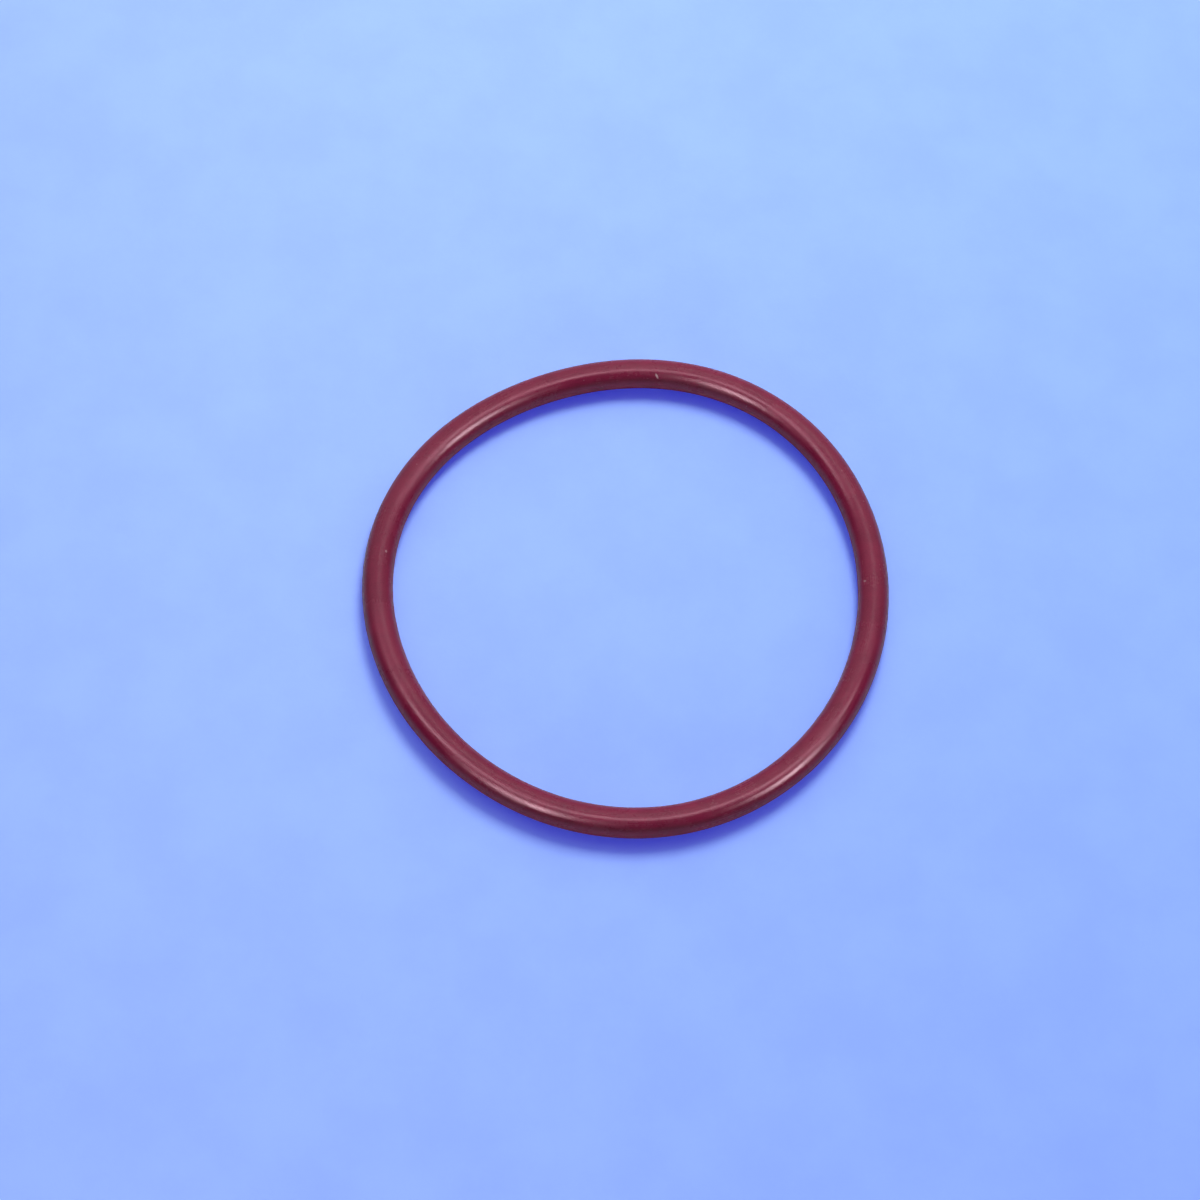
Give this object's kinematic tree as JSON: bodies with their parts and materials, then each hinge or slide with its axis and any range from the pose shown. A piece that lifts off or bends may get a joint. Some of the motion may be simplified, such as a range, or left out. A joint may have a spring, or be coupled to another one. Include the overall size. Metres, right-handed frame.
{
  "type": "torque converter seal",
  "caption": "Round-section moulded rubber sealing ring with a fine parting line around its inner and outer rims.",
  "frame": {"origin": "on the ring's axis, at the height of the plane that the ring lies on", "axes": "+Z along the ring's axis, upwards; X and Y across the ring, in no special direction"},
  "size_m": [0.0612, 0.0612, 0.0035],
  "materials": {
    "red_brown_rubber": "smooth moulded rubber, semi-gloss, faintly marked by handling"
  },
  "bodies": {
    "root": {"seal_ring": "red_brown_rubber"}
  },
  "joints": []
}
